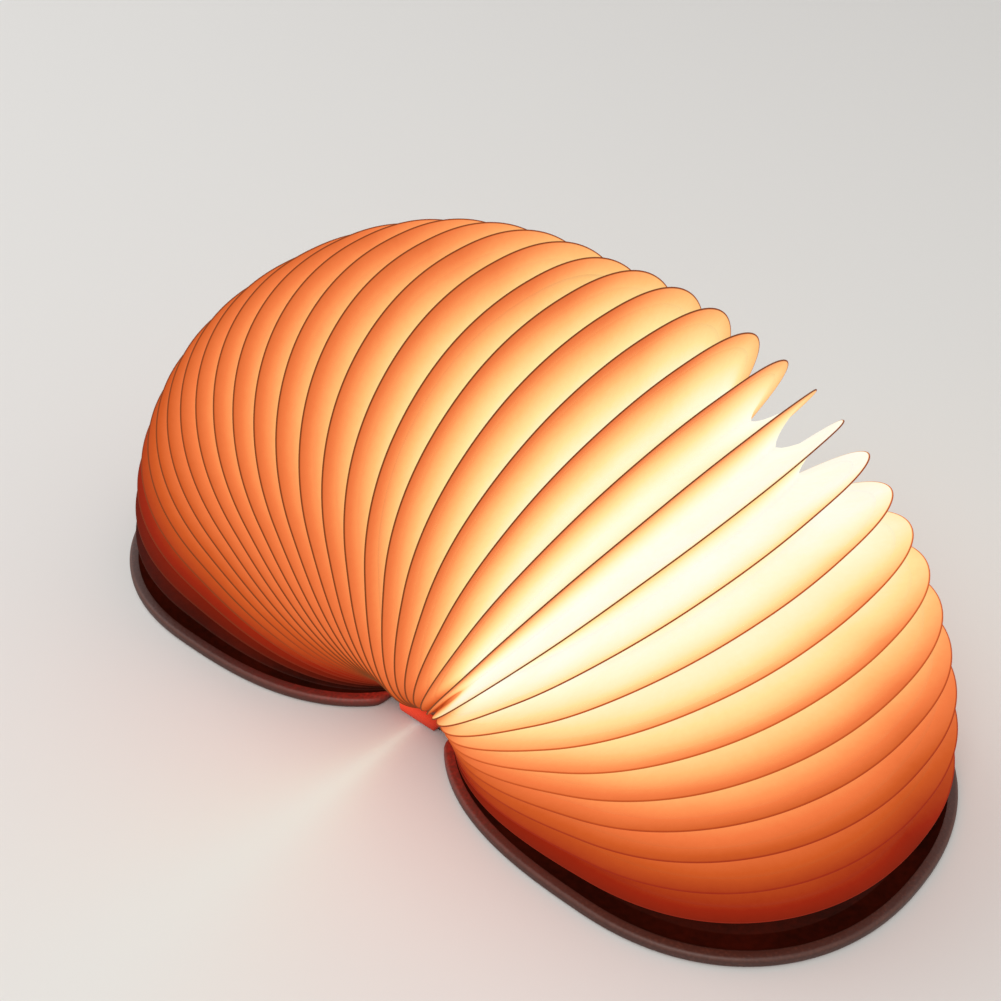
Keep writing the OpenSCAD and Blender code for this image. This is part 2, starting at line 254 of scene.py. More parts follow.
def closed_edge(grow, start, corner, count):
    """A closed outline that is cut straight at start, with rounded corners, and its outward normals."""
    turns, _ = even_turns(4 * count, start, grow)
    r, s = edge_point(turns, grow)
    ring = np.stack([r, s], axis=1)
    straight = np.linspace(ring[-1], ring[0], count)[1:-1]
    ring = np.concatenate([ring, straight])
    step = np.hypot(*(np.roll(ring, -1, axis=0) - ring).T)
    run = np.concatenate([[0], np.cumsum(step)])
    even = np.linspace(0, run[-1], count, endpoint=False)
    looped = np.concatenate([ring, ring[:1]])
    ring = np.stack([np.interp(even, run, looped[:, k]) for k in (0, 1)], axis=1)
    passes = int((corner / (run[-1] / count)) ** 2 / 2)
    from_corner = np.hypot(ring[:, 0] - start, np.abs(ring[:, 1]) - abs(s[0]))
    sharp = np.exp(-(from_corner / (2 * corner)) ** 2)[:, None]
    for _ in range(passes):
        soft = (np.roll(ring, 1, axis=0) + 2 * ring + np.roll(ring, -1, axis=0)) / 4
        ring = ring + sharp * (soft - ring)
    along = np.roll(ring, -1, axis=0) - np.roll(ring, 1, axis=0)
    along /= np.hypot(*along.T)[:, None]
    return ring, np.stack([along[:, 1], -along[:, 0]], axis=1)


def add_mesh(name, points, faces):
    """A smooth-shaded mesh object, with its faces turned outwards."""
    mesh = bpy.data.meshes.new(name)
    mesh.from_pydata(np.asarray(points, float).tolist(), [], [[int(i) for i in face] for face in faces])
    shape = bmesh.new()
    shape.from_mesh(mesh)
    bmesh.ops.recalc_face_normals(shape, faces=shape.faces)
    shape.to_mesh(mesh)
    shape.free()
    mesh.polygons.foreach_set("use_smooth", [True] * len(mesh.polygons))
    piece = bpy.data.objects.new(name, mesh)
    bpy.context.scene.collection.objects.link(piece)
    return piece


def ring_faces(rows, count, close_rows=False, close_ring=False):
    """Quads between neighbouring rows of count points each."""
    faces = []
    for a in range(rows if close_rows else rows - 1):
        b = (a + 1) % rows
        for i in range(count if close_ring else count - 1):
            j = (i + 1) % count
            faces.append((a * count + i, a * count + j, b * count + j, b * count + i))
    return faces


def end_faces(rows, count):
    """One face over the first row of count points, and one over the last."""
    return [tuple(range(count)), tuple((rows - 1) * count + i for i in range(count))]


def write_mark(piece, name, values):
    """Stores a number or a vector on each point of a piece, for its material to read."""
    values = np.asarray(values, np.float32)
    vector = values.ndim == 2
    mark = piece.data.attributes.new(name, "FLOAT_VECTOR" if vector else "FLOAT", "POINT")
    mark.data.foreach_set("vector" if vector else "value", values.ravel())


leather = bpy.data.materials.new("leatherette")
add = node_kit(leather)
where = add("TexCoord").outputs["Object"]
pebble = add("TexVoronoi", {"feature": "SMOOTH_F1"}, Vector=where, Scale=1150.0)
crease = add("TexNoise", Vector=where, Scale=520.0, Detail=4.0, Roughness=0.6)
cloud = add("TexNoise", Vector=where, Scale=38.0, Detail=3.0)
grain = add("Math", {"operation": "MULTIPLY_ADD"},
            _0=crease.outputs[0], _1=0.5, _2=pebble.outputs["Distance"])
shade = add("Math", {"operation": "MULTIPLY_ADD"}, _0=cloud.outputs[0], _1=0.7, _2=grain.outputs[0])
tint = add("ValToRGB", Fac=shade.outputs[0])
tint.color_ramp.elements[0].position = 0.45
tint.color_ramp.elements[0].color = leather_light
tint.color_ramp.elements[1].position = 1.0
tint.color_ramp.elements[1].color = leather_dark
worn = add("Attribute", {"attribute_name": "wear"})
scuff = add("Math", {"operation": "MULTIPLY"}, _0=worn.outputs["Fac"], _1=crease.outputs[0])
skin_colour = add("Mix", {"data_type": "RGBA"}, Factor=scuff.outputs[0], _6=tint.outputs[0], _7=leather_worn)
shine = add("MapRange", _0=cloud.outputs[0], _3=0.42, _4=0.60)
relief = add("Bump", {"invert": True}, Height=grain.outputs[0], Strength=0.55, Distance=0.00012)
# The lit mark paints a red glow on the skin, for the lamp's light near the spine.
lit = add("Attribute", {"attribute_name": "lit"})
glow = add("Math", {"operation": "MULTIPLY"}, _0=lit.outputs["Fac"], _1=grain.outputs[0])
shader = add("BsdfPrincipled", Base_Color=skin_colour.outputs[2], Roughness=shine.outputs[0],
             Normal=relief.outputs[0], Emission_Color=leather_lit, Emission_Strength=glow.outputs[0])
add("OutputMaterial", Surface=shader.outputs[0])

skin_top = skin_high[2]
pocket = board_low[2] - skin_low[2]
ring, outward = closed_edge(skin_grow, skin_start, corner_round, skin_points)
lower, upper = [], []
for a in map(math.radians, np.linspace(0, 90, corner_steps)):
    less_sin, less_cos = edge_round * (1 - math.sin(a)), edge_round * (1 - math.cos(a))
    corner_wear = 1 - abs(a - math.pi / 4)
    lower.append((less_sin, less_cos, corner_wear))
    upper.append((less_cos, skin_top - less_sin, corner_wear))
profile = lower + upper + [
    (0.5 * turn_in, skin_top, inside_wear),
    (turn_in - 2 * lip_round, skin_top, lip_wear),
    (turn_in - lip_round / 2, skin_top - lip_round / 2, lip_edge_wear),
    (turn_in, skin_top - 2 * lip_round, lip_foot_wear),
    (turn_in, board_high[2], 0), (pocket, board_high[2], 0), (pocket, pocket, 0)]
for side in ("right", "left"):
    mirror = 1 if side == "right" else -1
    points, wear, lit = [], [], []
    for inset, z, worn_share in profile:
        at = ring - outward * inset
        # Painted red glow for the lamp's light: strongest by the spine and on the top face.
        lit.append(np.exp(-(at[:, 0] - skin_start) / lit_reach) * (z / skin_top) ** 2)
        points.append(np.stack([mirror * (half_stack + at[:, 0]), at[:, 1], np.full(skin_points, z)], axis=1))
        wear.append(np.full(skin_points, worn_share))
    faces = ring_faces(len(profile), skin_points, close_ring=True) + end_faces(len(profile), skin_points)
    skin = add_mesh(f"{side}_leatherette", np.concatenate(points), faces)
    write_mark(skin, "wear", np.concatenate(wear))
    write_mark(skin, "lit", np.concatenate(lit))
    skin.data.materials.append(leather)
    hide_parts(f"{side}_cover_skin")
    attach(skin, f"{side}_cover")

# ---------------------------------------------------------------------------------------------
# Spine skin: a strip of the same leatherette, cut to the size of the spine board and glued under
# it. Its long edges are eased, and they wear lighter than its face.
# ---------------------------------------------------------------------------------------------
spine_low, spine_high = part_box("spine_skin")
spine_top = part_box("spine_board")[1][2]
spine_round = 0.0004
spine_stations = 60
spine_corner_steps = 4
spine_edge_wear, spine_face_wear = 0.8, 0.15

along = np.linspace(spine_low[1], spine_high[1], spine_stations)
half_wide = spine_high[0]
thick = spine_high[2] - spine_low[2]
section = []
for start, middle_z, high in ((-90, spine_round, spine_round), (0, thick - spine_round / 4, spine_round / 4)):
    for a in np.radians(np.linspace(start, start + 90, spine_corner_steps)):
        section.append((half_wide - spine_round + spine_round * math.cos(a), middle_z + high * math.sin(a)))
section += [(-x, z) for x, z in reversed(section)]
points = [(x, y, z) for y in along for x, z in section]
faces = ring_faces(spine_stations, len(section), close_ring=True)
faces += end_faces(spine_stations, len(section))
spine_strip = add_mesh("spine_leatherette", points, faces)
write_mark(spine_strip, "wear", [spine_edge_wear if abs(x) > half_wide - spine_round else spine_face_wear
                                 for x, _, _ in points])
spine_strip.data.materials.append(leather)
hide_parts("spine_skin")
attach(spine_strip, "spine")

# ---------------------------------------------------------------------------------------------
# Cloth hinges: a strip of dark red woven book cloth from the spine to each cover. It sags a little
# between the boards.
# ---------------------------------------------------------------------------------------------
thread_pitch = 0.00045
cloth_dark = (0.050, 0.004, 0.003, 1)
cloth_light = (0.210, 0.020, 0.012, 1)
hinge_low, hinge_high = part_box("right_hinge_cloth")
hinge_thick = hinge_high[2] - hinge_low[2]
hinge_sag = 0.00035
hinge_tuck = 0.0003
hinge_across = 14
hinge_stations = 70
weave_share = 0.28
cloth_level = 0.002


def woven_cloth(name, dark, light, glow_strength=0.0, glow_colour=(0, 0, 0, 1)):
    """Plain weave in two shades, read from the piece's cloth_place in metres, with a painted glow of
    glow_colour where its lit mark says light comes through.
    """
    cloth = bpy.data.materials.new(name)
    add = node_kit(cloth)
    place = add("Attribute", {"attribute_name": "cloth_place"})
    axes = add("SeparateXYZ", Vector=place.outputs["Vector"])
    waves = []
    for axis in (0, 1):
        phase = add("Math", {"operation": "MULTIPLY"}, _0=axes.outputs[axis], _1=2 * math.pi / thread_pitch)
        waves.append(add("Math", {"operation": "SINE"}, _0=phase.outputs[0]).outputs[0])
    over = add("Math", {"operation": "MULTIPLY"}, _0=waves[0], _1=waves[1])
    fuzz = add("TexNoise", Vector=place.outputs["Vector"], Scale=2600.0, Detail=4.0, Roughness=0.7)
    weave = add("Math", {"operation": "MULTIPLY_ADD"}, _0=over.outputs[0], _1=weave_share, _2=fuzz.outputs[0])
    tint = add("ValToRGB", Fac=weave.outputs[0])
    tint.color_ramp.elements[0].position = 0.2
    tint.color_ramp.elements[0].color = dark
    tint.color_ramp.elements[1].position = 0.8
    tint.color_ramp.elements[1].color = light
    relief = add("Bump", Height=weave.outputs[0], Strength=0.5, Distance=0.0001)
    lit = add("Attribute", {"attribute_name": "lit"})
    glow = add("Math", {"operation": "MULTIPLY"}, _0=lit.outputs["Fac"], _1=glow_strength)
    shader = add("BsdfPrincipled", Base_Color=tint.outputs[0], Roughness=0.85, Normal=relief.outputs[0],
                 Specular_IOR_Level=0.12, Sheen_Weight=0.05,
                 Emission_Color=glow_colour, Emission_Strength=glow.outputs[0])
    add("OutputMaterial", Surface=shader.outputs[0])
    return cloth


hinge_finish = woven_cloth("book_cloth", cloth_dark, cloth_light)
hinge_start = hinge_low[0] - hinge_tuck
hinge_end = skin_low[0] + hinge_tuck
for side in ("right", "left"):
    mirror = 1 if side == "right" else -1
    points, place = [], []
    for y in np.linspace(hinge_low[1], hinge_high[1], hinge_stations):
        loop = []
        for across in np.linspace(0, 1, hinge_across):
            x = hinge_start + across * (hinge_end - hinge_start)
            loop.append((x, hinge_high[2] - hinge_sag * math.sin(math.pi * across) ** 2))
        loop += [(x, z - hinge_thick) for x, z in reversed(loop)]
        points += [(mirror * x, y, z) for x, z in loop]
        place += [(x, y, cloth_level) for x, z in loop]
    faces = ring_faces(hinge_stations, 2 * hinge_across, close_ring=True)
    faces += end_faces(hinge_stations, 2 * hinge_across)
    hinge = add_mesh(f"{side}_cloth_hinge", points, faces)
    write_mark(hinge, "cloth_place", place)
    hinge.data.materials.append(hinge_finish)
    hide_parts(f"{side}_hinge_cloth")
    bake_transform(hinge)

# ---------------------------------------------------------------------------------------------
# Magnets: nickel-plated discs glued into pockets of the cover boards. The small one works the
# core's sensor, so that the lamp lights as it is opened and goes out as it is shut.
# ---------------------------------------------------------------------------------------------
nickel_stained = (0.50, 0.48, 0.44, 1)
nickel_clean = (0.72, 0.70, 0.66, 1)

nickel = bpy.data.materials.new("nickel_plate")
add = node_kit(nickel)
where = add("TexCoord").outputs["Object"]
turned = add("TexNoise", Vector=where, Scale=2200.0, Detail=3.0)
stain = add("TexNoise", Vector=where, Scale=260.0, Detail=2.0)
tint = add("ValToRGB", Fac=stain.outputs[0])
tint.color_ramp.elements[0].color = nickel_stained
tint.color_ramp.elements[1].color = nickel_clean
dull = add("MapRange", _0=turned.outputs[0], _3=0.18, _4=0.34)
shader = add("BsdfPrincipled", Base_Color=tint.outputs[0], Metallic=1.0, Roughness=dull.outputs[0])
add("OutputMaterial", Surface=shader.outputs[0])
finish_nodes(nickel, "right_closing_magnets", "left_closing_magnets", "left_switch_magnet")

# ---------------------------------------------------------------------------------------------
# Linings: cream paper glued into the window that the skin's lip leaves on each cover. The last
# sheet of the fan is glued over it.
# ---------------------------------------------------------------------------------------------
lining_dark = (0.55, 0.43, 0.30, 1)
lining_light = (0.80, 0.68, 0.52, 1)

lining_finish = bpy.data.materials.new("lining_paper")
add = node_kit(lining_finish)
where = add("TexCoord").outputs["Object"]
fibre = add("TexNoise", Vector=where, Scale=700.0, Detail=6.0, Roughness=0.65)
tint = add("ValToRGB", Fac=fibre.outputs[0])
tint.color_ramp.elements[0].color = lining_dark
tint.color_ramp.elements[1].color = lining_light
relief = add("Bump", Height=fibre.outputs[0], Strength=0.3, Distance=0.0001)
shader = add("BsdfPrincipled", Base_Color=tint.outputs[0], Roughness=0.85, Normal=relief.outputs[0])
add("OutputMaterial", Surface=shader.outputs[0])
finish_nodes(lining_finish, "right_lining", "left_lining")

# ---------------------------------------------------------------------------------------------
# The core: a white moulded tray screwed to the spine board, with the cell, the charge board and
# the cover sensor inside, and the board with the light chips over it. Two leads run under it to the
# charging socket, a folded metal shell in the spine's far end.
# ---------------------------------------------------------------------------------------------
drift_size = 20
lead_black = (0.012, 0.012, 0.012, 1), (0.035, 0.034, 0.033, 1)
lead_red = (0.36, 0.012, 0.008, 1), (0.52, 0.030, 0.020, 1)


def moulded(name, dark, light, low_rough, high_rough, texture_scale):
    """A moulded or coated surface with a fine texture and a slight drift of shade."""
    finish = bpy.data.materials.new(name)
    add = node_kit(finish)
    where = add("TexCoord").outputs["Object"]
    fine = add("TexNoise", Vector=where, Scale=texture_scale, Detail=3.0)
    drift = add("TexNoise", Vector=where, Scale=texture_scale / drift_size, Detail=3.0)
    tint = add("ValToRGB", Fac=drift.outputs[0])
    tint.color_ramp.elements[0].position = 0.3
    tint.color_ramp.elements[0].color = (*dark, 1)
    tint.color_ramp.elements[1].position = 0.7
    tint.color_ramp.elements[1].color = (*light, 1)
    gloss = add("MapRange", _0=fine.outputs[0], _3=low_rough, _4=high_rough)
    relief = add("Bump", Height=fine.outputs[0], Strength=0.2, Distance=0.00005)
    shader = add("BsdfPrincipled", Base_Color=tint.outputs[0], Roughness=gloss.outputs[0],
                 Normal=relief.outputs[0])
    add("OutputMaterial", Surface=shader.outputs[0])
    return finish


for node, name, dark, light, low_rough, high_rough, texture_scale in (
        ("core_tray", "tray_plastic", (0.70, 0.69, 0.66), (0.80, 0.79, 0.76), 0.42, 0.55, 1400.0),
        ("battery", "cell_wrap", (0.045, 0.075, 0.12), (0.06, 0.10, 0.155), 0.16, 0.30, 500.0),
        ("charge_board", "board_mask", (0.012, 0.085, 0.035), (0.02, 0.12, 0.05), 0.25, 0.38, 1400.0),
        ("led_board", "white_mask", (0.72, 0.72, 0.70), (0.82, 0.82, 0.80), 0.30, 0.42, 1400.0),
        ("cover_sensor", "sensor_epoxy", (0.012, 0.012, 0.013), (0.03, 0.03, 0.031), 0.35, 0.55, 1400.0)):
    finish_nodes(moulded(name, dark, light, low_rough, high_rough, texture_scale), node)
finish_nodes(nickel, "tray_screws", "charge_socket")

lead_finish = bpy.data.materials.new("lead_pvc")
add = node_kit(lead_finish)
where = add("TexCoord").outputs["Object"]
axes = add("SeparateXYZ", Vector=where)
red_side = add("Math", {"operation": "GREATER_THAN"}, _0=axes.outputs[0], _1=0.0)
smudge = add("TexNoise", Vector=where, Scale=900.0, Detail=3.0)
black = add("ValToRGB", Fac=smudge.outputs[0])
red = add("ValToRGB", Fac=smudge.outputs[0])
for lead_tint, shades in ((black, lead_black), (red, lead_red)):
    for stop, shade in zip(lead_tint.color_ramp.elements, shades):
        stop.color = shade
tint = add("Mix", {"data_type": "RGBA"}, Factor=red_side.outputs[0], _6=black.outputs[0], _7=red.outputs[0])
gloss = add("MapRange", _0=smudge.outputs[0], _3=0.30, _4=0.45)
shader = add("BsdfPrincipled", Base_Color=tint.outputs[2], Roughness=gloss.outputs[0])
add("OutputMaterial", Surface=shader.outputs[0])
finish_nodes(lead_finish, "battery_leads")

# ---------------------------------------------------------------------------------------------
# Light chips and dome: nine yellow phosphor chips soldered to their board, under a moulded dome of
# milky plastic that is glued by its foot to the board's edge. Both give off a warm white light.
# ---------------------------------------------------------------------------------------------
least_glow = 0.9


def lit_plastic(name, dark, light, glow, strength, rough):
    """A pale surface that gives off a little light of its own."""
    finish = bpy.data.materials.new(name)
    add = node_kit(finish)
    where = add("TexCoord").outputs["Object"]
    cloud = add("TexNoise", Vector=where, Scale=320.0, Detail=2.0)
    tint = add("ValToRGB", Fac=cloud.outputs[0])
    tint.color_ramp.elements[0].color = (*dark, 1)
    tint.color_ramp.elements[1].color = (*light, 1)
    lit = add("ValToRGB", Fac=cloud.outputs[0])
    lit.color_ramp.elements[0].color = (*[least_glow * part for part in glow], 1)
    lit.color_ramp.elements[1].color = (*glow, 1)
    shader = add("BsdfPrincipled", Base_Color=tint.outputs[0], Roughness=rough,
                 Emission_Color=lit.outputs[0], Emission_Strength=strength)
    add("OutputMaterial", Surface=shader.outputs[0])
    return finish


phosphor = lit_plastic("phosphor", dark=(0.75, 0.55, 0.12), light=(0.85, 0.66, 0.20),
                       glow=(1.0, 0.80, 0.45), strength=1.0, rough=0.5)
milky = lit_plastic("milky_dome", dark=(0.70, 0.68, 0.64), light=(0.78, 0.76, 0.72),
                    glow=(1.0, 0.86, 0.62), strength=0.8, rough=0.4)
finish_nodes(phosphor, "led_chips")
finish_nodes(milky, "core_diffuser")

# ---------------------------------------------------------------------------------------------
# End bands: book cloth rolled over a cord and glued to each end of the spine board, in front of
# the pages' roots. Its thin tails reach past the board's corners, in front of the hinges. The lamp's
# light through it is painted on as a bright red glow, brighter on its upper side and toward its left end.
# ---------------------------------------------------------------------------------------------
band_dark = (0.30, 0.018, 0.009, 1)
band_light = (0.50, 0.040, 0.020, 1)
band_glow = (1.00, 0.080, 0.032, 1)
band_glow_strength = 0.55
band_half = 0.0112
band_stations = 65
band_round = 20
band_thick, tail_thick = 0.0030, 0.0018
band_top, tail_top = 0.00535, 0.0050
band_low, tail_low = 0.0008, 0.0031
tail_start, tail_full = 0.0064, 0.0082
band_end_power = 8
band_end_least = 0.3
band_side_power = 0.8
cloth_shift = 0.004
lit_middle, lit_swing, lit_turn = 0.50, 0.46, 0.4
lit_loss_along = 0.70
opening_room = 0.0004
_, socket_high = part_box("charge_socket")
band_finish = woven_cloth("lit_book_cloth", band_dark, band_light, band_glow_strength, band_glow)

for end, toward in (("near", -1), ("far", 1)):
    band_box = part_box(f"{end}_end_band")
    board_end = max(abs(band_box[0][1]), abs(band_box[1][1]))
    points, place, lit = [], [], []
    for x in np.linspace(-band_half, band_half, band_stations):
        tail = float(np.clip((abs(x) - tail_start) / (tail_full - tail_start), 0, 1))
        tail = tail * tail * (3 - 2 * tail)
        thick = band_thick + (tail_thick - band_thick) * tail
        top = band_top + (tail_top - band_top) * tail
        low = band_low + (tail_low - band_low) * tail
        if toward > 0 and abs(x) < socket_high[0] + opening_room:
            low = socket_high[2] + opening_room / 2
        rounded = max(band_end_least, math.sqrt(1 - (abs(x) / band_half) ** band_end_power))
        half_high = (top - low) / 2 * rounded
        for a in np.linspace(0, 2 * math.pi, band_round, endpoint=False):
            out = math.copysign(abs(math.cos(a)) ** band_side_power, math.cos(a))
            y = board_end + 0.5 * thick * (1 + rounded * out)
            points.append((x, toward * y, (top + low) / 2 + half_high * math.sin(a)))
            place.append((x, 0.5 * thick * a, cloth_shift * toward))
            # Painted glow: brighter on the band's upper side and toward its left end.
            around = lit_middle + lit_swing * math.sin(a + lit_turn)
            lit.append(around * (1 - lit_loss_along * x / band_half))
    faces = ring_faces(band_stations, band_round, close_ring=True) + end_faces(band_stations, band_round)
    band = add_mesh(f"{end}_rolled_band", points, faces)
    write_mark(band, "cloth_place", place)
    write_mark(band, "lit", lit)
    band.data.materials.append(band_finish)
    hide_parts(f"{end}_end_band")
    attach(band, "spine")

# ---------------------------------------------------------------------------------------------
# Pages: thirty-three thin rims, each two sheets of white spun paper glued along a narrow flange
# and cut to the page outline. Their edges are the fine dark lines of the fan, in painted shade.
# ---------------------------------------------------------------------------------------------
page_start = 0.002
rim_width = 0.005
rim_half = (middle_high[0] - middle_low[0]) / 2
free_pages = sum(name.startswith("page_rim") for name in frame["nodes"])
middle_page = (free_pages + 1) // 2
cells = free_pages + 1
cell_angle = math.pi / cells
rim_points = 181
root_points = 5
rim_upper = [(rim_width + 0.0008, 0.2), (rim_width, 0.9), (0.0036, 1), (0.0022, 1), (0.0011, 1),
             (0.00045, 1), (0.00022, 1), (0.00006, 0.8), (0.0, 0.35)]
rim_section = rim_upper + [(inset, -across) for inset, across in reversed(rim_upper)]
cut_start, cut_blur = 0.0001, 0.00034
wave_height = 0.00010
wave_sizes = (0.5, 0.3, 0.2)
wave_turns = (5, 11, 19)
wave_fade = 0.12
wave_seed = 7
page_phases = np.random.default_rng(wave_seed).uniform(0, 2 * math.pi, (cells + 1, len(wave_sizes)))
page_shift = 0.05
glow_steps = [
    (0.05, (0.010, 0.002, 0.001)),
    (0.26, (0.320, 0.020, 0.005)),
    (0.44, (0.610, 0.110, 0.020)),
    (0.58, (0.890, 0.220, 0.065)),
    (0.66, (0.990, 0.340, 0.110)),
    (0.75, (1.000, 0.550, 0.200)),
    (0.85, (1.000, 0.810, 0.370)),
    (0.95, (1.000, 0.980, 0.720)),
    (1.00, (1.000, 1.000, 0.950)),
]
paper_share = (0.25, 0.24, 0.23, 1)
# Painted shade for the rims' cut edges, the fan's fine dark lines.
edge_shade_colour = (0.190, 0.050, 0.012, 1)
paper_glow = 0.78
fibre_depth, cloud_depth = 0.030, 0.036

paper = bpy.data.materials.new("lit_spun_paper")
add = node_kit(paper)
place = add("Attribute", {"attribute_name": "paper_place"})
fibres = add("TexNoise", Vector=place.outputs["Vector"], Scale=420.0, Detail=5.0, Roughness=0.62)
clouds = add("TexNoise", Vector=place.outputs["Vector"], Scale=46.0, Detail=3.0)
grain = add("Math", {"operation": "MULTIPLY_ADD"}, _0=fibres.outputs[0], _1=fibre_depth, _2=-fibre_depth / 2)
patch = add("Math", {"operation": "MULTIPLY_ADD"}, _0=clouds.outputs[0], _1=cloud_depth, _2=-cloud_depth / 2)
light = add("Attribute", {"attribute_name": "light"})
level = add("Math", {"operation": "ADD"}, _0=light.outputs["Fac"], _1=grain.outputs[0])
level = add("Math", {"operation": "ADD", "use_clamp": True}, _0=level.outputs[0], _1=patch.outputs[0])
ramp = add("ValToRGB", Fac=level.outputs[0])
stops = ramp.color_ramp.elements
while len(stops) < len(glow_steps):
    stops.new(0.5)
for stop, (position, colour) in zip(stops, glow_steps):
    stop.position = position
    stop.color = (*colour, 1)
cut_edge = add("Attribute", {"attribute_name": "cut_edge"})
glow = add("Mix", {"data_type": "RGBA"}, Factor=cut_edge.outputs["Fac"], _6=ramp.outputs[0], _7=edge_shade_colour)
body = add("Mix", {"data_type": "RGBA", "blend_type": "MULTIPLY"},
           Factor=1.0, _6=glow.outputs[2], _7=paper_share)
relief = add("Bump", Height=fibres.outputs[0], Strength=0.25, Distance=0.0002)
shader = add("BsdfPrincipled", Base_Color=body.outputs[2], Roughness=0.72, Normal=relief.outputs[0],
             Specular_IOR_Level=0.12, Emission_Color=glow.outputs[2], Emission_Strength=paper_glow)
add("OutputMaterial", Surface=shader.outputs[0])


def in_fan(angle, r, s, off, side):
    """Places points of a page's plane: angle is above the cover, off is across the plane."""
    lift = half_stack * angle / (math.pi / 2) + off
    x = half_stack + r * np.cos(angle) - lift * np.sin(angle)
    z = fold_height + r * np.sin(angle) + lift * np.cos(angle)
    return np.stack([x if side == "right" else -x, s, z], axis=-1)


def page_wave(page, run):
    """How far a rim bends out of its plane, at a share run of the way along it."""
    fade = np.clip(np.minimum(run, 1 - run) / wave_fade, 0, 1)
    wave = sum(size * np.sin(math.pi * turns * run + phase)
               for size, turns, phase in zip(wave_sizes, wave_turns, page_phases[page]))
    return wave_height * fade * wave


def with_roots(r, s):
    """Runs both ends of a ring straight down to the spine."""
    drop = np.linspace(0, 1, root_points + 1)[1:]
    first = [(r[0] + (page_start - r[0]) * t, s[0]) for t in drop[::-1]]
    last = [(r[-1] + (page_start - r[-1]) * t, s[-1]) for t in drop]
    both = np.concatenate([first, np.stack([r, s], axis=1), last])
    return both[:, 0], both[:, 1]


def share(value, none, full):
    """0 where a value is at none, 1 where it is at full, and even between them."""
    return np.clip((value - none) / (full - none), 0, 1)


def hump(value, middle, spread):
    """1 at the middle, and falling away smoothly on both sides of it."""
    return np.exp(-((value - middle) / spread) ** 2)


# The light and shade that the core casts on the paper, painted into its colour. Angles are in
# degrees, from 0 at the right cover to 180 at the left.
brightest_rim, brightest_fold = 54, 62
rim_by_right_cover, rim_gain, rim_climb_power = 0.27, 0.64, 1.3
first_rim_loss, first_rim_fade = 0.9, 5.3
rim_past_brightest, brightest_rim_gain, brightest_rim_spread = 0.56, 0.35, 6
far_face_level, far_face_loss, far_face_fade = 0.52, 0.35, 18
left_rim_loss, left_rim_fade = 0.84, 24
far_corner_gain, far_corner_s, far_corner_r = 0.23, 0.045, 0.08
fold_level, fold_facing_gain = 1.02, 0.10
fold_spread_right, fold_spread_left = 92, 200
fold_loss_right, fold_fade_right = 0.80, 8
fold_loss_left, fold_fade_left = 0.84, 16
light_run = 0.016
slow_run_gain, slow_run_middle, slow_run_spread = 0.28, 71, 14
fast_run_loss, fast_run_start, fast_run_full = 0.35, 105, 130
left_start, left_full = 120, 150
root_run, root_run_left = 0.030, 0.018
root_loss, root_loss_fold = 0.50, 0.30
root_loss_right, root_fade_right = 0.22, 14
root_loss_left, root_fade_left = 0.20, 25
dark_cells_left, dark_cell_level = 4.5, 0.30
cut_level, cut_gain, cut_middle, cut_spread = 0.25, 0.18, 34, 15
cut_gain_left, cut_left_start, cut_left_full = 0.04, 102, 132
cut_share, cut_root_loss, cut_root_reach = 0.9, 0.85, 1.6
brown_start, brown_full = 40.5, 55.5
least_light, most_light = 0.06, 0.985


def light_paper(piece, whole_angle, inset, r, s, facing, edge):
    """Writes how brightly the core lights each point. The angle is over the whole fan, facing is 1
    on sheets that face the left cover, and edge is 1 on a rim's cut edge."""
    degrees = np.degrees(whole_angle)
    past_left = degrees - 180

    climb = rim_by_right_cover + rim_gain * share(degrees, 0, brightest_rim) ** rim_climb_power
    climb = climb * (1 - first_rim_loss * np.exp(-degrees / first_rim_fade))
    fall = rim_past_brightest + brightest_rim_gain * hump(degrees, brightest_rim, brightest_rim_spread)
    far_face = far_face_level * (1 - far_face_loss * np.exp(-degrees / far_face_fade))
    rim_level = facing * np.where(degrees < brightest_rim, climb, fall) + (1 - facing) * far_face
    rim_level = rim_level * (1 - left_rim_loss * np.exp(past_left / left_rim_fade))
    rim_level = rim_level + far_corner_gain * share(s, 0, far_corner_s) * share(r, 0, far_corner_r) ** 2

    spread = np.where(degrees < brightest_fold, fold_spread_right, fold_spread_left)
    in_fold = (fold_level + fold_facing_gain * facing) * hump(degrees, brightest_fold, spread)
    in_fold = in_fold * (1 - fold_loss_left * np.exp(past_left / fold_fade_left))
    in_fold = in_fold * (1 - fold_loss_right * np.exp(-degrees / fold_fade_right))

    run = 1 + slow_run_gain * hump(degrees, slow_run_middle, slow_run_spread)
    run = light_run * (run - fast_run_loss * share(degrees, fast_run_start, fast_run_full))
    level = rim_level + (in_fold - rim_level) * np.tanh(inset / run)

    toward_left = share(degrees, left_start, left_full)
    near_root = 1 - share(r - page_start, 0, root_run + root_run_left * toward_left)
    root_shade = (root_loss + root_loss_right * np.exp(-degrees / root_fade_right)
                  + root_loss_left * np.exp(past_left / root_fade_left))
    root_shade = root_shade * (1 - root_loss_fold * share(inset, rim_width, 2 * rim_width))
    level = level * (1 - root_shade * near_root ** 2)
    # Painted shade in the last cell by the right cover, and over more cells by the left one.
    cells_away = np.minimum(whole_angle, (math.pi - whole_angle) / dark_cells_left) / cell_angle
    last_cells = np.clip(cells_away, 0, 1)
    level = level * (dark_cell_level + (1 - dark_cell_level) * last_cells)

    # Painted shade along the cut edges, softer near the roots on the left side.
    cut = (cut_level + cut_gain * hump(degrees, cut_middle, cut_spread)
           + cut_gain_left * share(degrees, cut_left_start, cut_left_full))
    edge = edge * (1 - cut_root_loss * toward_left * np.clip(cut_root_reach * near_root, 0, 1))
    level = level + (np.minimum(cut_share * level, cut) - level) * edge
    write_mark(piece, "light", np.clip(level, least_light, most_light))
    write_mark(piece, "cut_edge", edge * share(degrees, brown_start, brown_full) * last_cells ** 2)


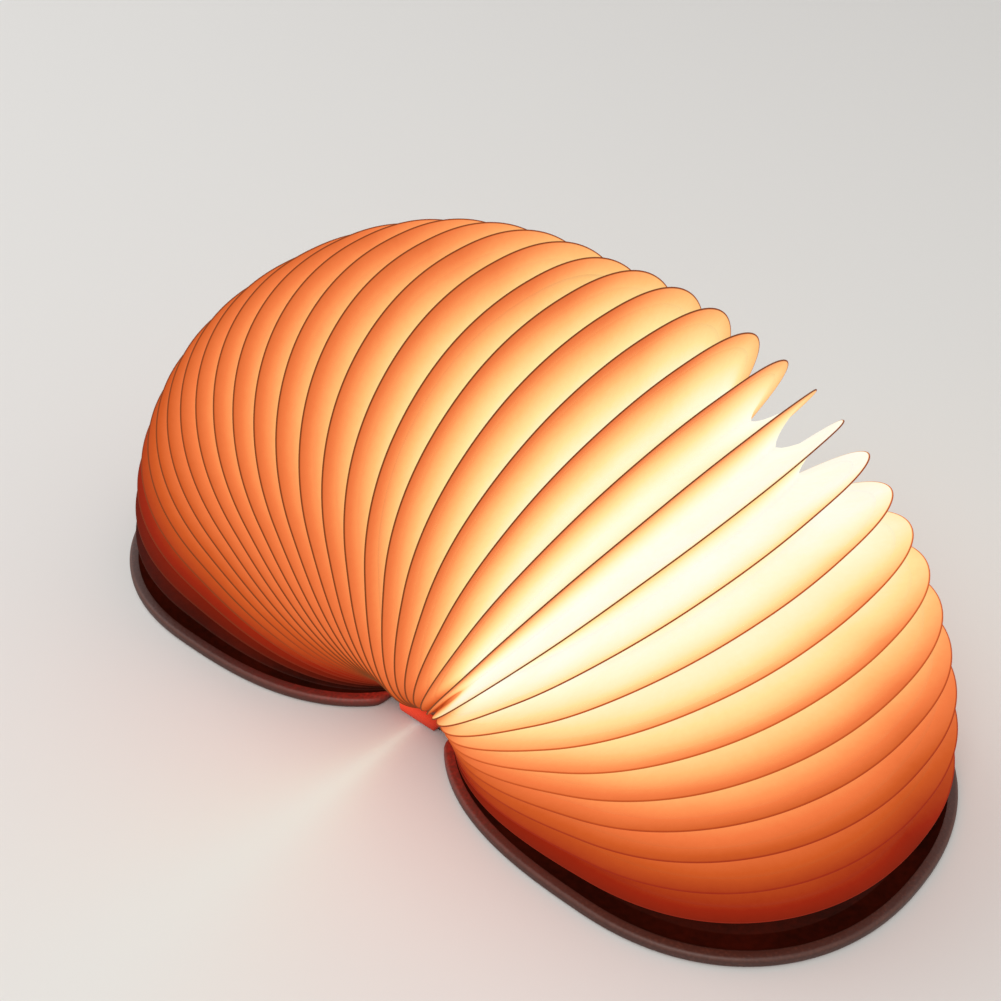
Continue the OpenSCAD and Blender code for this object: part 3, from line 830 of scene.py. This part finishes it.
rim_turns, rim_run = even_turns(rim_points, page_start)
rim_share = np.linspace(0, 1, rim_points)
for page in range(1, free_pages + 1):
    whole_angle = page * cell_angle
    side = "right" if page <= middle_page else "left"
    angle = whole_angle if side == "right" else math.pi - whole_angle
    points, facts = [], []
    for inset, across in rim_section:
        r, s = with_roots(*edge_point(rim_turns, -inset))
        off = across * rim_half + np.pad(page_wave(page, rim_share), root_points)
        points.append(in_fan(angle, r, s, off, side))
        facing = (1 + across) / 2 if side == "right" else (1 - across) / 2
        facts.append(np.stack([np.full(len(r), inset), r, s, np.full(len(r), facing)], axis=1))
    rows, count = len(rim_section), rim_points + 2 * root_points
    faces = ring_faces(rows, count, close_rows=True)
    faces += [tuple(row * count + end for row in range(rows)) for end in (0, count - 1)]
    rim = add_mesh(f"page_{page:02d}_paper_rim", np.concatenate(points), faces)
    inset, r, s, facing = np.concatenate(facts).T
    edge = np.clip(1 - (inset - cut_start) / cut_blur, 0, 1)
    light_paper(rim, np.full(len(inset), whole_angle), inset, r, s, facing, edge)
    run = np.tile(np.linspace(0, rim_run, count), rows)
    write_mark(rim, "paper_place", np.stack([run, inset, np.full(len(run), page_shift * page)], axis=1))
    rim.data.materials.append(paper)
    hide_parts(f"page_rim_{page:02d}")
    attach(rim, "spine" if page == middle_page else f"page_{page:02d}")

# ---------------------------------------------------------------------------------------------
# Pleats: behind the rims the two sheets of a page part, and each runs in a smooth trough to the
# next page. Their ends are glued to the spine.
# ---------------------------------------------------------------------------------------------
pleat_points = 141
pleat_steps = 14
paper_thickness = 0.0004
pleat_depth = 0.014
root_depth = 0.004
depth_run = 0.036
trough_power, trough_round = 1.5, 0.7
flange_insets = (0.0, 0.00022, 0.00045, 0.0022)
flange_lift = 0.00006
flange_cut = 0.0003
foot_height = spine_top + 0.00005
foot_reach = board_end - 0.0002
row_shift, pleat_shift = 0.0025, 3.0
swing_column = 5

pleat_turns, pleat_run = even_turns(pleat_points, page_start)
pleat_share = np.linspace(0, 1, pleat_points)
edge_r, _ = edge_point(pleat_turns, 0)
depth_turn = math.pi / 2 * np.clip(edge_r / depth_run, 0, 1)
trough_depth = root_depth + (pleat_depth - root_depth) * np.sin(depth_turn)

for side in ("right", "left"):
    rings = [(0.0, np.full(pleat_points, inset), flange_lift, 1) for inset in flange_insets]
    for cell in range(cells // 2):
        for step in range(pleat_steps + 1):
            swing = math.pi * step / pleat_steps
            angle = cell_angle * (cell + (1 - math.cos(swing)) / 2)
            flat = 1 - math.sin(swing)
            first_half = step <= pleat_steps / 2
            page = cell if first_half else cell + 1
            whole_page = page if side == "right" else cells - page
            off = rim_half * flat * (1 if first_half else -1) if page else flange_lift * flat
            wave = page_wave(whole_page, pleat_share) * flat * (page > 0)
            deep = (1 - abs(math.cos(swing)) ** trough_power) ** trough_round
            rings.append((angle, rim_width + trough_depth * deep, off + wave, (1 + math.cos(swing)) / 2))
    outer, inner, facts = [], [], []
    for row, (angle, inset, off, facing) in enumerate(rings):
        whole_angle = angle if side == "right" else math.pi - angle
        if not np.ndim(off):
            off = np.full(pleat_points, off)
        off = np.pad(off, root_points, mode="edge")
        swing_share = 1 - angle / (math.pi / 2)
        for face, depth in ((outer, inset), (inner, inset + paper_thickness)):
            r, s = with_roots(*edge_point(pleat_turns, -depth))
            sheet = in_fan(angle, r, s, off, side)
            foot_x = half_stack * swing_share * (1 if side == "right" else -1)
            feet = [(foot_x, math.copysign(min(abs(s[end]), foot_reach), s[end]), foot_height)
                    for end in (0, -1)]
            face.append(np.concatenate([feet[:1], sheet, feet[1:]]))
        facing = facing if side == "right" else 1 - facing
        fact = np.stack([np.full(len(r), whole_angle), np.pad(inset, root_points, mode="edge"), r, s,
                         np.full(len(r), facing), np.full(len(r), swing_share), np.full(len(r), row)], axis=1)
        fact = fact[[0, *range(len(r)), -1]]
        fact[[0, -1], swing_column] = 0
        facts.append(fact)
    rows, count = len(rings), pleat_points + 2 * root_points + 2
    upper = ring_faces(rows, count)
    under = rows * count
    faces = upper + [(a + under, d + under, c + under, b + under) for a, b, c, d in upper]
    edges = [(row * count + i, (row + 1) * count + i) for row in range(rows - 1) for i in (0, count - 1)]
    edges += [(row * count + i, row * count + i + 1) for row in (0, rows - 1) for i in range(count - 1)]
    faces += [(a, b, b + under, a + under) for a, b in edges]
    pleats = add_mesh(f"{side}_pleated_paper", np.concatenate(outer + inner), faces)
    whole, inset, r, s, facing, swing_shares, row = np.concatenate(facts + facts).T
    edge = np.where(row < len(flange_insets), np.clip(1 - inset / flange_cut, 0, 1), 0)
    light_paper(pleats, whole, inset, r, s, facing, edge)
    run = np.tile(np.linspace(0, pleat_run, count), 2 * rows)
    lane = np.full(len(run), pleat_shift)
    write_mark(pleats, "paper_place", np.stack([run, row_shift * row, lane], axis=1))
    pleats.data.materials.append(paper)
    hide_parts(f"{side}_paper_bellows")
    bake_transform(pleats)
